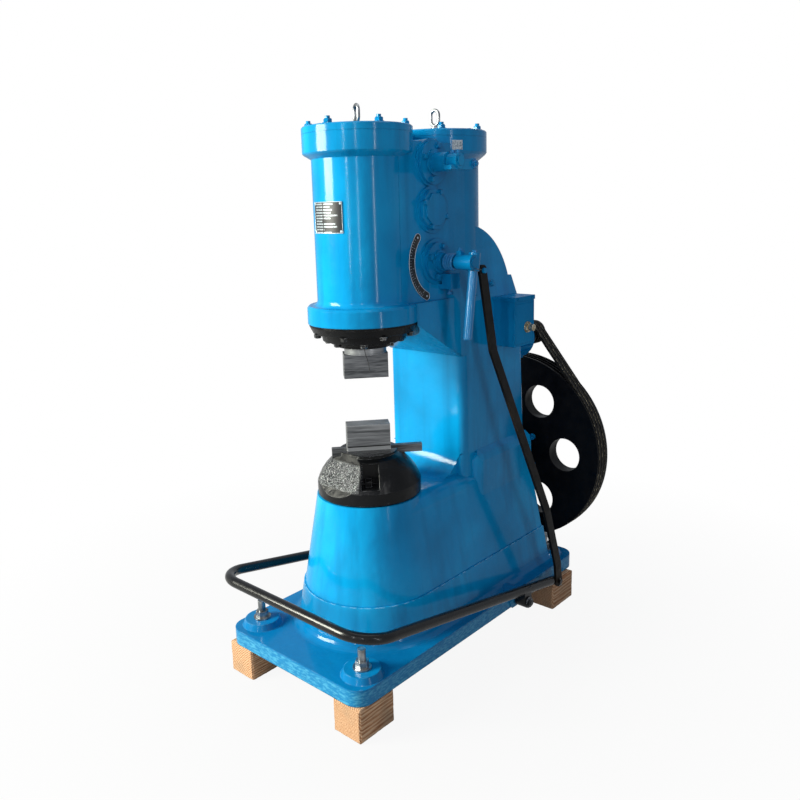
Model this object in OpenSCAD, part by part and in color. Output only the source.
// Pneumatic forging hammer with its own compressor, one-piece column type.
// Lengths are in millimetres. The hammer cylinder's axis is x = 0, y = 0 while
// the pieces are drawn, with z = 0 at the underside of the base plate. The
// finished model is moved so that its origin is at floor level under the middle
// of its box. The front of the machine faces -Y and the operator's levers are
// on the +X side.

/* [Base] */
// Length of the base plate from front to back
base_len = 994; // [960:1:1040]
// Width of the base plate
base_w = 496; // [480:1:520]
// Thickness of the base plate at its edge
base_t = 42; // [34:1:48]
// Corner radius of the base plate
base_corner_r = 45; // [30:1:55]
// Distance of the front edge ahead of the hammer axis
base_front = 314; // [300:1:325]
// Height of the raised pads round the anchor bolts
pad_h = 16; // [8:1:20]
// Radius of the raised pads at their top
pad_r = 46; // [40:1:50]
// How much wider the pads are at their foot
pad_flare = 8; // [4:1:10]
// Distance of the front anchor bolts from the plate's side edges
anchor_side_in = 58; // [54:1:66]
// Distance of the rear anchor bolts from the plate's side edges
anchor_rear_side_in = 72; // [66:1:78]
// Distance of the front anchor bolts from the front edge
anchor_front_in = 71; // [60:1:76]
// Distance of the rear anchor bolts from the rear edge
anchor_rear_in = 68; // [62:1:76]
// Diameter of the anchor bolts
anchor_d = 20; // [16:1:24]
// Radius of the foot of the pedestal above its flare
foot_r = 204; // [200:1:210]
// Radius of the flare where the foot meets the plate
flare_r = 28; // [20:1:32]
// Height of the seam between base and frame
seam_h = 148; // [130:1:165]

/* [Skids] */
// Height of the wooden blocks under the base
skid_h = 90; // [60:1:120]
// Width of a block
skid_w = 92; // [80:1:110]
// Length of a block
skid_l = 122; // [100:1:140]
// Distance of the front blocks' outer sides inside the plate's side edges
skid_front_side = 1; // [-10:1:12]
// How far the rear blocks stand out of the plate's side edges
skid_rear_side = 20; // [0:1:24]
// Distance of the rear blocks from the rear edge of the base
skid_rear_in = 45; // [30:1:60]

/* [Frame] */
// Height of the pedestal's top face
ped_h = 397; // [380:1:410]
// Radius of the pedestal at its top
ped_top_r = 142; // [141:1:148]
// Width of the column
col_w = 270; // [262:1:284]
// Throat depth, from the hammer axis to the front of the column
throat_depth = 243; // [235:1:252]
// Rear wall of the column at the level of the base
col_rear_y = 582; // [575:1:592]
// Backward slope of the rear wall in degrees
rear_tilt = 3.2; // [2.4:0.1:4]
// Rounding of the column's upright edges
col_edge_r = 20; // [12:1:26]
// How far the lower column stands out on each side
swell = 20; // [12:1:24]
// Height of the lower column's top above the pedestal's top
swell_rise = 60; // [45:1:72]
// Rounding of the lower column's front edge
swell_edge_r = 34; // [24:1:40]
// Radius of the hollow where the throat floor meets the column
throat_floor_r = 62; // [50:1:70]
// Radius of the rounded shoulder over the crank gear
shoulder_r = 214; // [208:1:220]
// Height of the shoulder's centre above the lower flange's underside
shoulder_rise = 28; // [20:1:36]
// Rounding of the shoulder's edges
shoulder_edge_r = 44; // [30:1:50]
// Radius of the hollow between the shoulder and the compressor cylinder
neck_fillet_r = 75; // [60:1:90]
// Height of the throat above the pedestal, at the lower flange
throat_h = 460; // [450:1:470]
// Depth below the lower flange at which the rear wall starts to slope in
rear_drop = 84; // [70:1:95]
// Drop of the throat's sloped ceiling from the lower flange to the column
throat_drop = 119; // [105:1:130]
// Rounding of the pedestal's sides behind the anvil
ped_side_r = 40; // [30:1:46]

/* [Cylinders] */
// Distance between the hammer and compressor cylinder axes
cyl_pitch = 306; // [300:1:314]
// Outside radius of the hammer cylinder
barrel_r = 117; // [112:1:120]
// Radius of the hammer cylinder's upper flange
top_flange_r = 138; // [134:1:142]
// Radius of the hammer cylinder's lower flange
low_flange_r = 144; // [143:1:148]
// Thickness of the lower flange
low_flange_t = 46; // [36:1:52]
// Length of the barrels, from the lower flange's underside to the upper flanges
barrel_l = 416; // [405:1:424]
// Thickness of the upper flanges
top_flange_t = 49; // [42:1:54]
// Thickness of the cylinder covers
cover_t = 18; // [14:1:24]
// Outside radius of the compressor cylinder
comp_r = 118; // [116:1:124]
// Radius of the compressor cylinder's flange and cover
comp_flange_r = 141; // [136:1:146]

/* [Ram] */
// Radius of the ram
ram_r = 57; // [52:1:58]
// Thickness of the lower die above its seat
lower_die_t = 70; // [60:1:76]
// Opening between the dies at the pose shown
die_gap = 127; // [124:1:132]
// Thickness of the upper die below the ram
upper_die_t = 65; // [60:1:70]
// Length of the ram
ram_len = 400; // [360:1:420]
// Clearance round the ram
ram_clear = 0.5; // [0.3:0.1:1]
// Length of the dies
die_l = 115; // [105:1:120]
// Width of the dies
die_w = 50; // [44:1:54]
// Width of the die's tongue
tongue_w = 28; // [22:1:32]
// Depth of the lower die's tongue
tongue_h = 22; // [18:1:24]
// Width of the die keys
key_w = 16; // [12:1:18]
// How far the lower key stands out of the die at the back
key_back = 40; // [30:1:50]
// How far the lower key stands out of the die at the front
key_front = 90; // [80:1:100]
// Turn of the dies from the machine's width, in degrees
die_turn = 49; // [40:1:55]

/* [Guide and anvil] */
// Radius of the guide's flange
guide_r = 141; // [136:1:142]
// Thickness of the guide's flange
guide_t = 24; // [18:1:28]
// Radius of the guide's second step
guide_step_r = 112; // [104:1:118]
// Thickness of the guide's second step
guide_step_t = 21; // [16:1:24]
// Radius of the gland ring
gland_r = 76; // [72:1:82]
// Thickness of the gland ring
gland_t = 17; // [12:1:18]
// Radius of the anvil cap's ring
cap_r = 139; // [134:1:140]
// Height of the anvil cap's ring
cap_ring_h = 43; // [36:1:50]
// Height of the anvil cap up to the die's seat
cap_h = 117; // [108:1:122]
// Sideways place of the pocket in the anvil cap, in degrees
pocket_turn = 45; // [40:1:50]
// Width of the pocket
pocket_w = 46; // [40:1:52]
// Radius of the anvil cap's seat
cap_seat_r = 78; // [74:1:84]

/* [Valves] */
// Distance of the valve covers' seats from the middle plane
valve_seat_x = 122; // [120:1:126]
// Height of the lower valve's axis above the lower flange's underside
valve_low_rise = 146; // [142:1:150]
// Height of the middle cover's axis above the lower valve's
valve_mid_rise = 132; // [126:1:138]
// Height of the upper valve's axis above the middle cover's
valve_up_rise = 116; // [112:1:120]
// Distance of the lower valve's axis behind the hammer axis
valve_low_y = 155; // [152:1:158]
// Radius of the upper and middle covers
valve_r = 54; // [50:1:54]
// Distance of the link pin behind the lower valve's axis
arm_y = 81; // [76:1:86]
// Drop of the link pin below the lower valve's axis
arm_drop = 27; // [22:1:34]
// Length of the hand lever below the valve's axis
hand_l = 198; // [180:1:210]
// Diameter of the hand lever
hand_d = 23; // [20:1:26]
// Distance of the hand lever behind the lower valve's axis
hand_off = 15; // [12:1:18]
// Slope of the hand lever in degrees
hand_tilt = 9; // [5:1:12]
// Radius of the sleeves round the valves' spindles
sleeve_r = 24; // [22:1:27]
// Radius of the clamped hubs on the spindles
hub_r = 19; // [17:1:21]
// Length of the spring on the lower valve's spindle
spring_l = 38; // [32:1:42]
// Number of the spring's turns
spring_turns = 4; // [3:1:5]
// Length of the lower valve's hub
low_hub_l = 52; // [48:1:58]
// Length of the upper valve's hub
up_hub_l = 32; // [26:1:36]
// Length of the upper valve's sleeve
up_sleeve_l = 56; // [48:1:60]
// Radius of the curved plate's middle line round the lower valve
scale_r = 95; // [90:1:98]
// Width of the curved plate
scale_w = 21; // [16:1:24]
// Width of the name plate
name_w = 94; // [86:1:100]
// Height of the name plate
name_h = 74; // [66:1:80]
// Height of the name plate above the lower flange's underside
name_rise = 229; // [215:1:240]

/* [Treadle] */
// Outside diameter of the treadle's tube
tube_d = 27; // [24:1:30]
// Distance of the treadle's arms outside the plate's side edges
tread_out = 32; // [28:1:38]
// Front bar of the treadle ahead of the hammer axis
tread_front = 316; // [312:1:330]
// Height of the front bar's centre
tread_front_h = 185; // [175:1:195]
// Radius of the treadle's bends
bend_r = 85; // [70:1:95]
// Distance of the treadle's pivot behind the hammer axis
pivot_y = 335; // [325:1:345]
// Height of the treadle's pivot
pivot_h = 22; // [19:1:24]
// Distance of the link's lower pin behind the treadle's pivot
tail_l = 172; // [160:1:180]
// Width of the link bar
link_w = 30; // [26:1:34]
// Thickness of the link bar
link_t = 8; // [6:1:10]

/* [Drive] */
// Radius of the flywheel
wheel_r = 309; // [298:1:312]
// Width of the flywheel's rim
wheel_w = 62; // [58:1:66]
// Front face of the flywheel behind the hammer axis
wheel_y = 705; // [698:1:712]
// Height of the crankshaft
wheel_h = 348; // [342:1:354]
// Radius of the six lightening holes
hole_r = 54; // [48:1:56]
// Radius of the circle of lightening holes
hole_circle_r = 189; // [186:1:192]
// Radius of the motor pulley
pulley_r = 38; // [36:1:42]
// Gap between the flywheel and the motor's pulley
pulley_gap = 35; // [28:1:42]
// Sideways place of the motor's shaft
motor_x = 40; // [34:1:44]
// Radius of the motor's body
motor_r = 72; // [64:1:76]
// Depth of the motor's recess in the column
recess_d = 150; // [130:1:160]
// Distance of the motor's end in front of the flywheel
motor_end = 50; // [42:1:58]
// Radius of the crankshaft
shaft_r = 32; // [28:1:34]
// Radius of the crank bearing's flange
bearing_r = 100; // [92:1:106]

/* [Electric box] */
// Width of the starter box, out from the column
box_d = 72; // [60:1:80]
// Length of the starter box along the machine
box_l = 100; // [90:1:110]
// Height of the starter box
box_h = 140; // [130:1:150]
// Front of the starter box behind the hammer axis
box_y = 389; // [384:1:396]
// Bottom of the starter box
box_z = 748; // [742:1:754]

/* [Hidden] */
$fn = 96;
gap = 0.3;
base_rear = base_len - base_front;
anchor_x = base_w / 2 - anchor_side_in;
anchor_rear_x = base_w / 2 - anchor_rear_side_in;
anchor_yf = anchor_front_in - base_front;
anchor_yr = base_rear - anchor_rear_in;
anchors = [[anchor_x, anchor_yf], [-anchor_x, anchor_yf], [anchor_rear_x, anchor_yr], [-anchor_rear_x, anchor_yr]];
skid_front_x = (base_w - skid_w) / 2 - skid_front_side;
skid_rear_x = (base_w - skid_w) / 2 + skid_rear_side;
tread_x = base_w / 2 + tread_out;
col_x = col_w / 2;
tube_r = tube_d / 2;
foot_h = base_t + flare_r;
ramp_y = valve_low_y - 27;
foot_slope = (foot_r - 4 - ped_top_r) / (ped_h - foot_h);
swell_h = ped_h + swell_rise;
low_flange_h = ped_h + throat_h;
rear_slope_h = low_flange_h - rear_drop;
throat_top_h = low_flange_h - throat_drop;
shoulder_h = low_flange_h + shoulder_rise;
top_flange_h = low_flange_h + barrel_l;
cover_seat_h = top_flange_h + top_flange_t;
valve_low_h = low_flange_h + valve_low_rise;
valve_mid_h = valve_low_h + valve_mid_rise;
valve_up_h = valve_mid_h + valve_up_rise;
cap_top_h = ped_h + cap_h;
lower_die_h = cap_top_h + lower_die_t;
upper_die_h = lower_die_h + die_gap;
ram_low_h = upper_die_h + upper_die_t;
motor_h = wheel_h + wheel_r + pulley_gap + pulley_r;
wheel_back = wheel_y + wheel_w;
shaft_end = wheel_back + 14;
// Middle of the model's box between the treadle's bar and the crankshaft's end.
mid_y = (shaft_end - tread_front - tube_r) / 2;
cover_top_h = cover_seat_h + cover_t;
chest_y = cyl_pitch / 2 - 12;
link_low_y = pivot_y + tail_l;
link_low_z = pivot_h - 2;
link_top_y = valve_low_y + arm_y;
link_top_z = valve_low_h - arm_drop;
tread_slope = atan2(tread_front_h - tail_z(), tread_front + link_low_y);
pin_r = 7;
pivot_r = 8;
lug_t = 8;
boss_r = valve_r + 5.3;
stop_l = 38;
stop_h = 40;
stop_y = valve_low_y + 6;
stop_z = valve_low_h - 72;
arm_t = 8;
slot_y = -(tongue_w + key_w) / 2 + 6;
spindle_r = 12;
socket_low = hub_r + 4;
flange_t = 9;
low_sleeve_x = valve_seat_x + 28;
low_hub_x = low_sleeve_x + spring_l + 1;
hand_x = low_hub_x + low_hub_l - 12;
link_top_x = low_hub_x + arm_t + 6;
up_sleeve_x = valve_seat_x + up_sleeve_l;
belt_pitch = 17;
groove_d = 11;
belt_in = 8;
belt_w = 11.2;
belt_out = 1.5;
shaft_d = sqrt(motor_x * motor_x + (motor_h - wheel_h) * (motor_h - wheel_h));
shaft_a = atan2(motor_h - wheel_h, motor_x);
wrap_a = acos((wheel_r - pulley_r) / shaft_d);

function tail_z() = pivot_h;
// Radius of the pedestal at a height, before the small step at the seam.
function ped_r(z) = ped_top_r + foot_slope * (ped_h - z);
// Place of the rear wall at a height.
function rear_at(z) = col_rear_y - tan(rear_tilt) * (z - base_t);
// Points of the foot's flare, from the plate's top up to the foot.
function flare(r) = [for (t = [0:15:90])
    [r + flare_r - flare_r * sin(t), base_t + flare_r - flare_r * cos(t)]];

// A half outline and its mirror image, as one closed list.
function mirrored(p) = concat(p, [for (i = [len(p) - 1:-1:0]) [-p[i][0], p[i][1]]]);

// A side-view outline, as [y, z] points, made w wide about the middle plane.
module side(w) {
    rotate([90, 0, 90])
        linear_extrude(w, center = true)
            children();
}

// A front-view outline, as [x, z] points, made from y0 to y1.
module front(y0, y1) {
    translate([0, y1, 0])
        rotate([90, 0, 0])
            linear_extrude(y1 - y0)
                children();
}

// A round bar along X from x0 to x1.
module bar_x(x0, x1, y, z, r) {
    translate([x0, y, z])
        rotate([0, 90, 0])
            cylinder(h = x1 - x0, r = r);
}

// A round bar along Y from y0 to y1.
module bar_y(y0, y1, x, z, r) {
    translate([x, y0, z])
        rotate([-90, 0, 0])
            cylinder(h = y1 - y0, r = r);
}

// A round bar from one point to another.
module bar(p, q, r) {
    d = q - p;
    translate(p)
        rotate([0, acos(d[2] / norm(d)), atan2(d[1], d[0])])
            cylinder(h = norm(d), r = r);
}

// A rectangle with its corners rounded by arcs.
module round_rect(x0, y0, x1, y1, r) {
    translate([x0 + r, y0])
        square([x1 - x0 - 2 * r, y1 - y0]);
    translate([x0, y0 + r])
        square([x1 - x0, y1 - y0 - 2 * r]);
    for (x = [x0 + r, x1 - r])
        for (y = [y0 + r, y1 - r])
            translate([x, y])
                circle(r);
}

module base_outline() {
    round_rect(-base_w / 2, -base_front, base_w / 2, base_rear, base_corner_r);
}

module base_plate() {
    right = concat([[foot_r + flare_r, base_t - 8]], flare(foot_r), [[ped_r(seam_h) + 4, seam_h]]);
    back = concat([[0, base_t - 8], [rear_at(0) + flare_r, base_t - 8]],
        flare(rear_at(0)), [[rear_at(seam_h) + 4, seam_h], [0, seam_h]]);
    hump_r = base_t + 12 - pivot_h;
    color("dodgerblue")
        difference() {
            union() {
                linear_extrude(base_t)
                    base_outline();
                intersection() {
                    linear_extrude(base_t + pad_h)
                        base_outline();
                    for (a = anchors)
                        translate([a[0], a[1], base_t - 1])
                            cylinder(h = pad_h + 1, r1 = pad_r + pad_flare, r2 = pad_r);
                }
                rotate_extrude()
                    polygon(concat([[0, base_t - 8]], right, [[0, seam_h]]));
                intersection() {
                    front(0, base_rear)
                        polygon(mirrored(right));
                    side(base_w)
                        polygon(back);
                }
                intersection() {
                    translate([-base_w, pivot_y - 60, 0])
                        cube([2 * base_w, 120, base_t + 20]);
                    for (x = [-base_w / 2 - 6, foot_r - 24])
                        bar_x(x, x + base_w / 2 + 30 - foot_r, pivot_y, pivot_h, hump_r);
                }
            }
            for (a = anchors)
                translate([a[0], a[1], -1])
                    cylinder(h = base_t + pad_h + 2, r = anchor_d / 2 + 1);
            for (x = [-base_w, foot_r - 4])
                bar_x(x, x + base_w + 4 - foot_r, pivot_y, pivot_h, pivot_r + 0.5);
        }
}

module pedestal() {
    top = ped_h - ped_side_r;
    x = ped_r(top) - ped_side_r;
    half = concat([[ped_r(seam_h), seam_h]],
        [for (t = [0:10:90]) [x + ped_side_r * cos(t), top + ped_side_r * sin(t)]]);
    rotate_extrude()
        polygon([[0, seam_h], [ped_r(seam_h), seam_h], [ped_top_r, ped_h], [0, ped_h]]);
    intersection() {
        front(0, base_rear)
            polygon(mirrored(half));
        side(base_w)
            polygon([[0, seam_h], [rear_at(seam_h), seam_h], [rear_at(ped_h), ped_h], [0, ped_h]]);
    }
}

module lower_column() {
    y0 = throat_depth + 38;
    w = col_x + swell;
    r = swell_edge_r;
    intersection() {
        translate([0, 0, seam_h])
            linear_extrude(swell_h - seam_h)
                round_rect(-w, y0, w, base_rear, 26);
        front(0, base_rear)
            polygon(mirrored([[w, seam_h], [w, swell_h - 30], [w - 5, swell_h - 12], [col_x, swell_h]]));
        side(base_w)
            union() {
                polygon([[y0, seam_h], [rear_at(seam_h), seam_h], [rear_at(swell_h), swell_h],
                    [y0 + r, swell_h], [y0 + r, swell_h - r], [y0, swell_h - r]]);
                translate([y0 + r, swell_h - r])
                    circle(r);
            }
    }
}

// Tilted rear part of the column, up to a height.
module rear_prism(top) {
    translate([0, col_rear_y, base_t])
        rotate([rear_tilt, 0, 0])
            translate([0, 0, seam_h])
                linear_extrude(top - base_t - seam_h)
                    round_rect(-col_x, -220, col_x, 0, col_edge_r);
}

module column() {
    h0 = ped_h - 90;
    translate([0, 0, h0])
        linear_extrude(shoulder_h - h0)
            round_rect(-col_x, throat_depth, col_x, throat_depth + 200, col_edge_r);
    rear_prism(rear_slope_h);
}

// Rounded shoulder over the crank gear, behind the compressor cylinder.
module shoulder() {
    r = shoulder_r;
    k = shoulder_edge_r;
    x = comp_r - 3;
    y = cyl_pitch - 18;
    // centre of the hollow's arc, which touches the cylinder and the shoulder
    cz = sqrt(pow(r + neck_fillet_r, 2) - pow(cyl_pitch + comp_r + neck_fillet_r - y, 2));
    low = asin(cz / (r + neck_fillet_r));
    hollow = [for (t = [low:-5:0]) [comp_r + neck_fillet_r * (1 - cos(t)), cz - neck_fillet_r * sin(t)]];
    // point where the rear slope touches the shoulder's circle
    w = [rear_at(rear_slope_h) - y, rear_slope_h - shoulder_h];
    a = atan2(w[1], w[0]) + acos(r / norm(w));
    t = [y + r * cos(a), shoulder_h + r * sin(a)];
    intersection() {
        union() {
            translate([0, y, shoulder_h])
                rotate([0, 90, 0])
                    rotate_extrude() {
                        translate([0, -col_x])
                            square([r - k, col_w]);
                        translate([0, k - col_x])
                            square([r, col_w - 2 * k]);
                        for (s = [-1, 1])
                            translate([r - k, s * (col_x - k)])
                                circle(k);
                    }
            translate([0, cyl_pitch, shoulder_h])
                rotate_extrude()
                    polygon(concat([[0, 0], [hollow[0][0], 0]], hollow, [[comp_r, cz + 2], [0, cz + 2]]));
            intersection() {
                rear_prism(t[1] + 20);
                side(base_w)
                    polygon([[throat_depth, throat_top_h], [base_rear, throat_top_h],
                        [base_rear, rear_slope_h], [rear_at(rear_slope_h), rear_slope_h], t, [throat_depth, t[1]]]);
            }
        }
        front(0, base_rear)
            polygon(mirrored([[col_x, throat_top_h], [col_x, shoulder_h], [x + 4, shoulder_h + 90],
                [x, shoulder_h + 140], [x, shoulder_h + 2 * r]]));
        // nothing hangs below the throat's sloped ceiling
        side(base_w)
            polygon([[60, low_flange_h - 6], [throat_depth, throat_top_h + 2], [throat_depth + 60, throat_top_h + 2],
                [throat_depth + 60, throat_top_h], [base_rear, throat_top_h], [base_rear, cover_seat_h],
                [60, cover_seat_h]]);
        // side walls run out from the chest to the column
        linear_extrude(cover_seat_h)
            polygon([[-barrel_r + 1, 0], [barrel_r - 1, 0], [barrel_r - 1, ramp_y], [col_x, throat_depth - 7],
                [col_x, base_rear], [-col_x, base_rear], [-col_x, throat_depth - 7], [1 - barrel_r, ramp_y]]);
    }
}

// Body between the two cylinders, with the sloped ceiling of the throat.
module neck() {
    side(2 * (col_x - 4))
        polygon([[60, low_flange_h - 8], [throat_depth, throat_top_h],
            [throat_depth + 80, throat_top_h], [throat_depth + 80, low_flange_h + low_flange_t],
            [60, low_flange_h + low_flange_t]]);
    side(2 * (barrel_r - 1))
        polygon([[20, low_flange_h], [cyl_pitch, low_flange_h], [cyl_pitch, cover_seat_h - 20],
            [20, cover_seat_h - 20]]);
}

module throat_floor() {
    r = throat_floor_r;
    x1 = col_x - 6;
    x0 = ped_r(ped_h - ped_side_r) - ped_side_r;
    intersection() {
        side(col_w)
            difference() {
                polygon([[100, ped_h - 30], [throat_depth + 30, ped_h - 30],
                    [throat_depth + 30, ped_h + r], [100, ped_h + r]]);
                translate([throat_depth - r, ped_h + r])
                    circle(r);
                translate([0, ped_h])
                    square([throat_depth - r, r + 1]);
            }
        front(0, base_rear)
            polygon(mirrored(concat([[x0, ped_h - 31]],
                [for (t = [0:15:90]) [x0 + (x1 - x0) * (1 - cos(t)), ped_h + r * sin(t)]])));
    }
}

module hammer_cylinder() {
    f = low_flange_h;
    rotate_extrude()
        polygon(concat([[0, f], [low_flange_r, f], [low_flange_r, f + low_flange_t - 6],
            [low_flange_r - 5, f + low_flange_t]],
            [for (t = [0:15:90]) [barrel_r + 14 - 14 * sin(t), f + low_flange_t + 14 - 14 * cos(t)]],
            [[barrel_r, top_flange_h - 10], [top_flange_r - 4, top_flange_h],
            [top_flange_r, top_flange_h + 4], [top_flange_r, cover_seat_h], [0, cover_seat_h]]));
}

module compressor_cylinder() {
    translate([0, cyl_pitch, 0])
        rotate_extrude()
            polygon([[0, low_flange_h], [comp_r, low_flange_h], [comp_r, top_flange_h - 10],
                [comp_flange_r - 5, top_flange_h + 4], [comp_flange_r, top_flange_h + 10],
                [comp_flange_r, cover_seat_h], [0, cover_seat_h]]);
}

module frame_casting() {
    seats = [[chest_y, valve_up_h], [chest_y, valve_mid_h], [valve_low_y, valve_low_h]];
    color("dodgerblue")
        difference() {
            union() {
                pedestal();
                lower_column();
                column();
                shoulder();
                neck();
                throat_floor();
                hammer_cylinder();
                compressor_cylinder();
                for (s = seats)
                    bar_x(barrel_r / 2, valve_seat_x, s[0], s[1], boss_r);
            }
            translate([0, 0, low_flange_h - 1])
                cylinder(h = ram_len + 60, r = ram_r + ram_clear);
            translate([0, 0, low_flange_h - 80])
                cylinder(h = 80, r = guide_r + 3);
            // faced seats for the valve covers and the stop block
            for (s = seats)
                bar_x(valve_seat_x, valve_seat_x + 40, s[0], s[1], boss_r);
            translate([valve_seat_x, stop_y - gap, stop_z - gap])
                cube([60, stop_l + 2 * gap, stop_h + 2 * gap]);
            // recess for the motor in the rear wall
            translate([motor_x - motor_r - 8, rear_at(motor_h) - recess_d, motor_h - motor_r - 22])
                cube([2 * motor_r + 16, 2 * recess_d, 2 * motor_r + 36]);
            bar_y(rear_at(wheel_h) - 60, base_rear, 0, wheel_h, bearing_r * 0.62);
            bar_x(barrel_r / 2, base_w, valve_low_y, valve_low_h, sleeve_r);
            bar_x(barrel_r / 2, base_w, chest_y, valve_up_h, sleeve_r - 6);
        }
}

module cover(r, y) {
    translate([0, y, cover_seat_h])
        difference() {
            rotate_extrude()
                polygon([[0, 0], [r, 0], [r, cover_t - 3], [r - 3, cover_t], [0, cover_t]]);
            translate([0, 0, cover_t - 14])
                cylinder(h = 20, r = 5.4);
        }
}

module hammer_cover() {
    color("dodgerblue")
        cover(top_flange_r, 0);
}

module compressor_cover() {
    color("dodgerblue")
        cover(comp_flange_r, cyl_pitch);
}

// Long lifting eye on a stem, lifted above the cover by a height.
module eye_bolt(y, turn, lift) {
    r = 13;
    wire = 4.4;
    long = 14;
    translate([0, y, cover_top_h])
        rotate(turn) {
            translate([0, 0, lift + 12 + r]) {
                for (s = [0, 1])
                    translate([0, 0, s * long])
                        rotate([90, (1 - s) * 180, 0])
                            rotate_extrude(angle = 180)
                                translate([r, 0])
                                    circle(wire, $fn = 32);
                for (s = [-1, 1])
                    translate([s * r, 0, 0])
                        cylinder(h = long, r = wire);
            }
            cylinder(h = lift + 6, r = 11);
            cylinder(h = lift + 13, r = 7.5);
            translate([0, 0, -13])
                cylinder(h = 15, r = 5);
        }
}

module hammer_eye_bolt() {
    color("silver")
        eye_bolt(0, -24, 0);
}

module compressor_eye_bolt() {
    color("silver")
        eye_bolt(cyl_pitch, 2, 8);
}

module rod_guide() {
    h = low_flange_h;
    color("black")
        difference() {
            rotate_extrude()
                polygon([[0, h], [guide_r, h], [guide_r, h - 6], [guide_r - 9, h - guide_t],
                    [guide_step_r, h - guide_t], [guide_step_r - 4, h - guide_t - guide_step_t],
                    [0, h - guide_t - guide_step_t]]);
            translate([0, 0, h - 100])
                cylinder(h = 200, r = ram_r + ram_clear);
        }
}

module gland_ring() {
    h = low_flange_h - guide_t - guide_step_t;
    color("black")
        difference() {
            rotate_extrude()
                polygon([[0, h], [gland_r, h], [gland_r - 3, h - gland_t], [0, h - gland_t]]);
            translate([0, 0, h - 50])
                cylinder(h = 100, r = ram_r + ram_clear);
        }
}

// Slot along the die's length for its tongue and key, between two heights.
module die_slot(z0, z1) {
    rotate(die_turn)
        translate([-200, slot_y, z0])
            cube([400, tongue_w + key_w, z1 - z0]);
}

module anvil_cap() {
    h0 = ped_h;
    h1 = ped_h + cap_ring_h;
    r0 = cap_seat_r + 12;
    color("black")
        difference() {
            union() {
                difference() {
                    // turned body with a slightly crowned cone
                    rotate_extrude()
                        polygon(concat([[0, h0], [cap_r - 3, h0], [cap_r, h0 + 4], [cap_r, h1 - 8]],
                            [for (t = [0.12:0.22:1]) [cap_r - 3 + (r0 - cap_r + 3) * t + 7 * sin(180 * t),
                                h1 + (cap_top_h - 14 - h1) * t]],
                            [[cap_seat_r, cap_top_h - 7], [cap_seat_r, cap_top_h], [0, cap_top_h]]));
                    // flat rough face at the front
                    translate([-100, -cap_r - 56, h1 + 2])
                        rotate([-36, 0, 0])
                            cube([200, 60, 130]);
                    // pocket beside it, over the cap's bolt
                    rotate(pocket_turn - 90)
                        translate([cap_seat_r + 4, -pocket_w / 2, h1 + 2])
                            cube([60, pocket_w, cap_h - cap_ring_h - 18]);
                }
                // lug in the pocket
                rotate(pocket_turn - 90)
                    translate([cap_seat_r, -pocket_w / 2 + 12, h1])
                        cube([30, 15, 16]);
            }
            die_slot(cap_top_h - tongue_h, cap_top_h + 1);
        }
}

module lower_die() {
    color("dimgray")
        rotate(die_turn) {
            translate([-die_l / 2, -die_w / 2, cap_top_h])
                cube([die_l, die_w, lower_die_t]);
            translate([-die_l / 2, slot_y, cap_top_h - tongue_h])
                cube([die_l, tongue_w, tongue_h + 1]);
        }
}

module lower_die_key() {
    color("dimgray")
        rotate(die_turn)
            translate([-die_l / 2 - key_back, slot_y + tongue_w, cap_top_h - tongue_h])
                cube([key_back + die_l + key_front, key_w, tongue_h - gap]);
}

module ram_rod() {
    color("silver")
        difference() {
            translate([0, 0, ram_low_h])
                cylinder(h = ram_len, r = ram_r);
            die_slot(ram_low_h - 1, ram_low_h + tongue_h - 2);
        }
}

module upper_die() {
    l = ram_r * 1.72;
    color("dimgray")
        rotate(die_turn) {
            translate([-die_l / 2, -die_w / 2, upper_die_h])
                cube([die_l, die_w, upper_die_t]);
            translate([-l / 2, slot_y, ram_low_h - 1])
                cube([l, tongue_w, tongue_h - 1]);
        }
}

module upper_die_key() {
    l = ram_r * 1.72;
    color("dimgray")
        rotate(die_turn)
            translate([-l / 2, slot_y + tongue_w, ram_low_h + gap])
                cube([l, key_w, tongue_h - 2 - gap]);
}

// Round cover with a raised disc and a sleeve for the valve's spindle.
module valve_cover(y, z, r, sleeve_x) {
    difference() {
        union() {
            bar_x(valve_seat_x, valve_seat_x + flange_t, y, z, r);
            bar_x(valve_seat_x, valve_seat_x + flange_t + 5, y, z, r * 0.6);
            bar_x(valve_seat_x, sleeve_x, y, z, sleeve_r);
        }
        bar_x(valve_seat_x - 20, sleeve_x + 20, y, z, spindle_r + 0.4);
    }
}

module upper_valve_cover() {
    color("dodgerblue")
        valve_cover(chest_y, valve_up_h, valve_r, up_sleeve_x);
}

// Clamped hub with a flat lever under it that ends in an eye.
module upper_valve_lever() {
    x = up_sleeve_x + 1;
    y = chest_y;
    z = valve_up_h;
    eye_y = y + 62;
    color("dodgerblue") {
        bar_x(x - up_sleeve_l + 8, x + up_hub_l + 4, y, z, spindle_r);
        bar_x(x, x + up_hub_l, y, z, hub_r);
        translate([x + 4, y - 30, z - hub_r - 2])
            cube([up_hub_l - 8, 88, 11]);
        translate([x + 4, y, z - hub_r])
            cube([up_hub_l - 8, 54, hub_r + 5]);
        bar_x(x + 1, x + up_hub_l - 3, eye_y, z - 6, 13);
        bar_x(x + 1, x + up_hub_l + 5, eye_y, z - 6, 7);
    }
}

module middle_valve_cover() {
    color("dodgerblue")
        translate([valve_seat_x, chest_y, valve_mid_h])
            rotate([0, 90, 0])
                rotate(22.5) {
                    cylinder(h = flange_t + 1, r = valve_r, $fn = 8);
                    cylinder(h = flange_t + 6, r = valve_r * 0.8, $fn = 8);
                }
}

module lower_valve_cover() {
    color("dodgerblue")
        valve_cover(valve_low_y, valve_low_h, valve_r - 4, low_sleeve_x);
}

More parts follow.
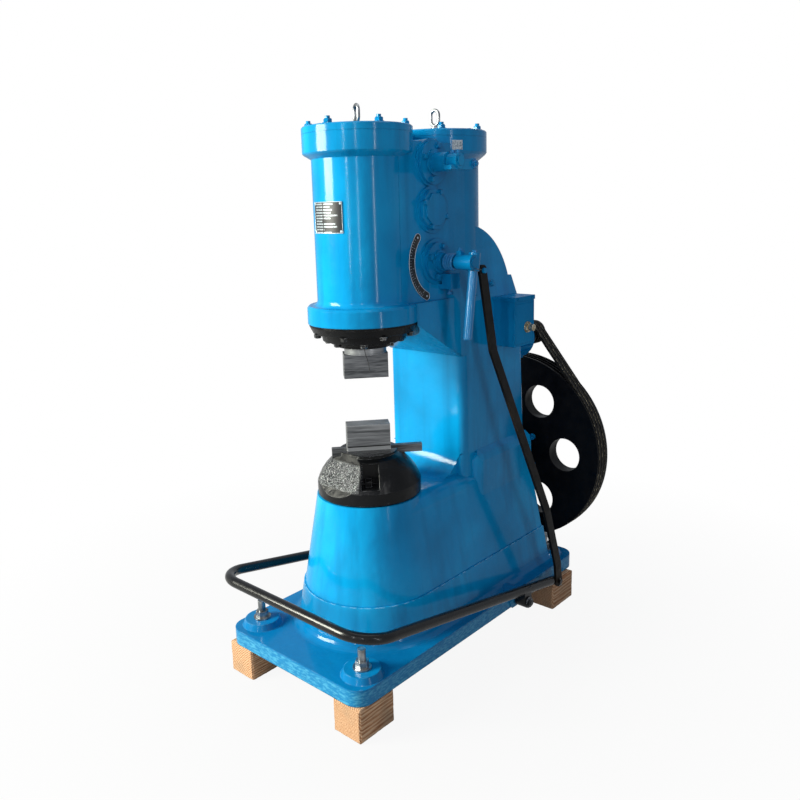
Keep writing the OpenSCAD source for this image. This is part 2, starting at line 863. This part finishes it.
// Closed spring round the spindle, drawn as its rings.
module valve_spring() {
    x = low_sleeve_x + gap;
    pitch = (spring_l - gap) / spring_turns;
    color("dodgerblue")
        translate([x, valve_low_y, valve_low_h])
            rotate([0, 90, 0])
                rotate_extrude() {
                    translate([spindle_r + 0.6, 0])
                        square([hub_r - spindle_r - 1, spring_l - gap]);
                    for (i = [0:spring_turns - 1])
                        translate([hub_r - 1, (i + 0.5) * pitch])
                            circle(pitch * 0.46, $fn = 24);
                }
}

// Clamped hub on the lower valve's spindle, with its arm and the link's pin.
module lower_valve_lever() {
    x = low_hub_x;
    y = valve_low_y;
    z = valve_low_h;
    reach = norm([arm_y, arm_drop]);
    color("dodgerblue") {
        bar_x(valve_seat_x - 28, x + low_hub_l + 3, y, z, spindle_r);
        bar_x(x, x + low_hub_l, y, z, hub_r);
        // split ears over the hub, drawn together by a bolt
        translate([x + 2, y - 8, z])
            cube([14, 16, hub_r + 10]);
        // arm to the treadle's link
        translate([x, y, z])
            rotate([atan2(-arm_drop, arm_y), 0, 0])
                translate([0, 0, -hub_r * 0.6])
                    cube([arm_t, reach, hub_r * 1.2]);
        bar_x(x, x + arm_t, link_top_y, link_top_z, 13);
        bar_x(x, link_top_x + link_t + 7, link_top_y, link_top_z, pin_r);
        // socket for the hand lever
        translate([hand_x, y + hand_off, z])
            rotate([-hand_tilt, 0, 0])
                translate([0, 0, -socket_low])
                    cylinder(h = socket_low + hub_r + 4, r = hand_d / 2 + 3.5);
    }
}

module hand_lever() {
    color("dodgerblue")
        translate([hand_x, valve_low_y + hand_off, valve_low_h])
            rotate([-hand_tilt, 0, 0])
                translate([0, 0, -hand_l])
                    rotate_extrude()
                        polygon([[0, 0], [hand_d / 2 - 3, 0], [hand_d / 2, 3],
                            [hand_d / 2, hand_l - socket_low - gap], [0, hand_l - socket_low - gap]]);
}

module stop_block() {
    color("deepskyblue")
        difference() {
            translate([valve_seat_x, stop_y, stop_z])
                cube([40, stop_l, stop_h]);
            bar_x(valve_seat_x - 1, valve_seat_x + flange_t + 1, valve_low_y, valve_low_h, boss_r + gap);
        }
}

// Curved plate with round ends, on the flat of the chest beside the hand lever.
module position_plate() {
    x = barrel_r - 1;
    up = 42;
    down = 66;
    far = 3 * scale_r;
    color("black")
        translate([x, valve_low_y, valve_low_h])
            rotate([0, 90, 0])
                linear_extrude(1.5) {
                    difference() {
                        circle(scale_r + scale_w / 2);
                        circle(scale_r - scale_w / 2);
                        polygon([[0, 0], [-far * sin(up), -far * cos(up)], [-far, 0], [-far, far],
                            [far, far], [far * sin(down), -far * cos(down)]]);
                    }
                    for (a = [[-sin(up), -cos(up)], [sin(down), -cos(down)]])
                        translate(scale_r * a)
                            circle(scale_w / 2 - 0.4);
                }
}

module name_plate() {
    z = low_flange_h + name_rise;
    color("silver")
        intersection() {
            difference() {
                translate([0, 0, z])
                    cylinder(h = name_h, r = barrel_r + 1.6);
                translate([0, 0, z - 5])
                    cylinder(h = name_h + 10, r = barrel_r);
            }
            translate([-name_w / 2, -2 * barrel_r, z])
                cube([name_w, 2 * barrel_r, name_h]);
        }
}

module starter_box() {
    color("steelblue")
        translate([col_x, box_y, box_z])
            cube([box_d, box_l, box_h - 12]);
}

module starter_lid() {
    color("steelblue")
        translate([col_x, box_y - 2, box_z + box_h - 12])
            cube([box_d + 2, box_l + 4, 12]);
}

module cable_gland() {
    y = box_y + box_l * 0.64;
    z = box_z + 51;
    color("silver") {
        bar_x(col_x + box_d, col_x + box_d + 8, y, z, 13);
        bar_x(col_x + box_d, col_x + box_d + 22, y, z, 10);
    }
}

module crank_bearing() {
    y = rear_at(wheel_h);
    color("dodgerblue")
        difference() {
            union() {
                bar_y(y - 50, y + 30, 0, wheel_h, bearing_r * 0.62 - gap);
                bar_y(y + bearing_r * tan(rear_tilt), y + 24, 0, wheel_h, bearing_r);
                bar_y(y + 18, y + 32, 0, wheel_h, bearing_r * 0.84);
                bar_y(y + 20, wheel_y - 20, 0, wheel_h, bearing_r * 0.66);
            }
            bar_y(y - 90, wheel_y + 20, 0, wheel_h, shaft_r + 0.4);
        }
}

module groove(r, y) {
    translate([0, y, 0])
        rotate([-90, 0, 0])
            rotate_extrude()
                polygon([[r - groove_d, -5.8], [r + 1, -7.6], [r + 1, 7.6], [r - groove_d, 5.8]]);
}

module flywheel() {
    m = wheel_y + wheel_w / 2;
    hub = shaft_r * 1.8;
    rim = wheel_r - 34;
    dish = wheel_w / 2 - 12;
    color("black")
        translate([0, 0, wheel_h])
            difference() {
                union() {
                    bar_y(wheel_y, wheel_back, 0, 0, wheel_r);
                    bar_y(wheel_y - 12, wheel_back + 6, 0, 0, hub);
                    bar_y(rear_at(wheel_h) - 40, shaft_end, 0, 0, shaft_r);
                }
                // dished web on the rear face, flat on the front face
                translate([0, wheel_back - dish, 0])
                    rotate([-90, 0, 0])
                        rotate_extrude()
                            polygon([[hub, 0], [hub, dish + 1], [rim, dish + 1], [rim - 6, 0]]);
                for (a = [0:60:359])
                    bar_y(wheel_y - 1, wheel_back + 1, hole_circle_r * cos(a), hole_circle_r * sin(a), hole_r);
                for (i = [-1:1])
                    groove(wheel_r, m + i * belt_pitch);
            }
}

module motor_body() {
    y0 = rear_at(motor_h) - recess_d + 30;
    y1 = wheel_y - motor_end;
    fin_l = y1 - y0 - 40;
    color("dodgerblue")
        translate([motor_x, 0, motor_h]) {
            bar_y(y0, y1, 0, 0, motor_r - 6);
            for (a = [0:15:359])
                rotate([0, a, 0])
                    translate([motor_r - 10, y0 + 20, -1.5])
                        cube([10, fin_l, 3]);
            bar_y(y1 - 1, y1 + 14, 0, 0, motor_r * 0.66);
            bar_y(y1 + 13, wheel_y - 4, 0, 0, 14);
            translate([-motor_r * 0.65, y0 + 12, -motor_r - 22])
                cube([motor_r * 1.3, recess_d - 47, 30]);
        }
}

module motor_pulley() {
    m = wheel_y + wheel_w / 2;
    color("black")
        translate([motor_x, 0, motor_h])
            difference() {
                union() {
                    bar_y(wheel_y, wheel_back, 0, 0, pulley_r);
                    bar_y(wheel_y - 4, wheel_back + 2, 0, 0, pulley_r * 0.55);
                }
                for (i = [-1:1])
                    groove(pulley_r, m + i * belt_pitch);
            }
}

// Closed path of a belt round both pulleys, grown by h over their radii.
function belt_path(h) = let (
        a = shaft_a - wrap_a, b = shaft_a + wrap_a, n = 42, m = 10,
        r0 = wheel_r + h, r1 = pulley_r + h)
    concat(
        [for (i = [0:n]) let (t = b + (360 - 2 * wrap_a) * i / n)
            [r0 * cos(t), wheel_h + r0 * sin(t)]],
        [for (i = [0:m]) let (t = a + 2 * wrap_a * i / m)
            [motor_x + r1 * cos(t), motor_h + r1 * sin(t)]]);

module drive_belts() {
    m = wheel_y + wheel_w / 2;
    color("black")
        for (i = [-1:1])
            front(m + i * belt_pitch - belt_w / 2, m + i * belt_pitch + belt_w / 2)
                difference() {
                    polygon(belt_path(belt_out));
                    polygon(belt_path(-belt_in));
                }
}

// Bent tube in its own plane: along X in front, arms running back.
module treadle_bar() {
    l = (tread_front + link_low_y) / cos(tread_slope);
    x = tread_x;
    b = bend_r;
    color("black") {
        translate([0, -tread_front, tread_front_h])
            rotate([-tread_slope, 0, 0]) {
                bar_x(-x + b, x - b, 0, 0, tube_r);
                for (s = [-1, 1]) {
                    bar_y(b, s > 0 ? l - 30 : l - tail_l + 40, s * x, 0, tube_r);
                    translate([s * (x - b), b, 0])
                        rotate(s > 0 ? -90 : -180)
                            rotate_extrude(angle = 90)
                                translate([b, 0])
                                    circle(tube_r, $fn = 48);
                }
                translate([x - lug_t / 2, l - 60, -12])
                    cube([lug_t, 60, 24]);
            }
        for (s = [-1, 1])
            difference() {
                union() {
                    bar_x(s > 0 ? x - 22 : -x - 12, s > 0 ? x + 12 : -x + 22, pivot_y, pivot_h, 17);
                    translate([s > 0 ? x - 12 : -x - 12, pivot_y - 17, pivot_h])
                        cube([24, 34, 42]);
                }
                bar_x(-x - 40, x + 40, pivot_y, pivot_h, 8.6);
            }
        bar_x(x - lug_t / 2, x + lug_t / 2, link_low_y, link_low_z, 14);
        bar_x(x - 12, x + lug_t / 2 + link_t + 8, link_low_y, link_low_z, pin_r);
    }
}

// Flat bar with three bends and an eye at each end.
module link_rod() {
    x0 = tread_x + lug_t / 2 + 1;
    x1 = link_top_x;
    y0 = link_low_y;
    y1 = link_top_y;
    z0 = link_low_z;
    z1 = link_top_z;
    p = [[x0, y0, z0], [x0, y0 - 8, z0 + 60], [x0 - 10, y0 - 57, z0 + 242],
        [x1, y1 + 48, z1 - 221], [x1, y1, z1]];
    color("black")
        difference() {
            union() {
                for (i = [0:3])
                    hull() {
                        translate([p[i][0], p[i][1] - link_w / 2, p[i][2] - 0.5])
                            cube([link_t, link_w, 1]);
                        translate([p[i + 1][0], p[i + 1][1] - link_w / 2, p[i + 1][2] - 0.5])
                            cube([link_t, link_w, 1]);
                    }
                bar_x(x0, x0 + link_t, y0, z0, link_w / 2 + 2);
                bar_x(x1, x1 + link_t, y1, z1, link_w / 2);
            }
            bar_x(x0 - 20, x0 + 20, y0, z0, pin_r + 0.4);
            bar_x(x1 - 20, x1 + 20, y1, z1, pin_r + 1.2);
        }
}

module pivot_bolt(s) {
    color("silver") {
        bar_x(s > 0 ? foot_r + 1 : -tread_x - 16, s > 0 ? tread_x + 16 : -foot_r - 1, pivot_y, pivot_h, pivot_r);
        bar_x(s > 0 ? tread_x + 13 : -tread_x - 16, s > 0 ? tread_x + 16 : -tread_x - 13, pivot_y, pivot_h, 16);
    }
}

module pivot_bolt_right() {
    pivot_bolt(1);
}

module pivot_bolt_left() {
    pivot_bolt(-1);
}

module skid(x, y) {
    color("burlywood")
        translate([x - skid_w / 2, y, -skid_h])
            cube([skid_w, skid_l, skid_h]);
}

module skid_front_right() {
    skid(skid_front_x, -base_front);
}

module skid_front_left() {
    skid(-skid_front_x, -base_front);
}

module skid_rear_right() {
    skid(skid_rear_x, base_rear - skid_rear_in - skid_l);
}

module skid_rear_left() {
    skid(-skid_rear_x, base_rear - skid_rear_in - skid_l);
}

module anchor_bolt(x, y) {
    z = base_t + pad_h;
    color("silver")
        translate([x, y, 0]) {
            translate([0, 0, 2])
                cylinder(h = z + 48, r = anchor_d / 2);
            translate([0, 0, z])
                cylinder(h = 4, r = anchor_d * 1.15);
            translate([0, 0, z + 3])
                cylinder(h = 17, r = anchor_d * 0.86, $fn = 6);
        }
}

module anchor_bolt_front_right() {
    anchor_bolt(anchor_x, anchor_yf);
}

module anchor_bolt_front_left() {
    anchor_bolt(-anchor_x, anchor_yf);
}

module anchor_bolt_rear_right() {
    anchor_bolt(anchor_rear_x, anchor_yr);
}

module anchor_bolt_rear_left() {
    anchor_bolt(-anchor_rear_x, anchor_yr);
}

module placed() {
    translate([0, -mid_y, skid_h])
        children();
}

placed() base_plate();
placed() frame_casting();
placed() hammer_cover();
placed() compressor_cover();
placed() hammer_eye_bolt();
placed() compressor_eye_bolt();
placed() rod_guide();
placed() gland_ring();
placed() anvil_cap();
placed() lower_die();
placed() lower_die_key();
placed() ram_rod();
placed() upper_die();
placed() upper_die_key();
placed() upper_valve_cover();
placed() upper_valve_lever();
placed() middle_valve_cover();
placed() lower_valve_cover();
placed() valve_spring();
placed() lower_valve_lever();
placed() hand_lever();
placed() stop_block();
placed() position_plate();
placed() name_plate();
placed() starter_box();
placed() starter_lid();
placed() cable_gland();
placed() crank_bearing();
placed() flywheel();
placed() motor_body();
placed() motor_pulley();
placed() drive_belts();
placed() treadle_bar();
placed() link_rod();
placed() pivot_bolt_right();
placed() pivot_bolt_left();
placed() skid_front_right();
placed() skid_front_left();
placed() skid_rear_right();
placed() skid_rear_left();
placed() anchor_bolt_front_right();
placed() anchor_bolt_front_left();
placed() anchor_bolt_rear_right();
placed() anchor_bolt_rear_left();
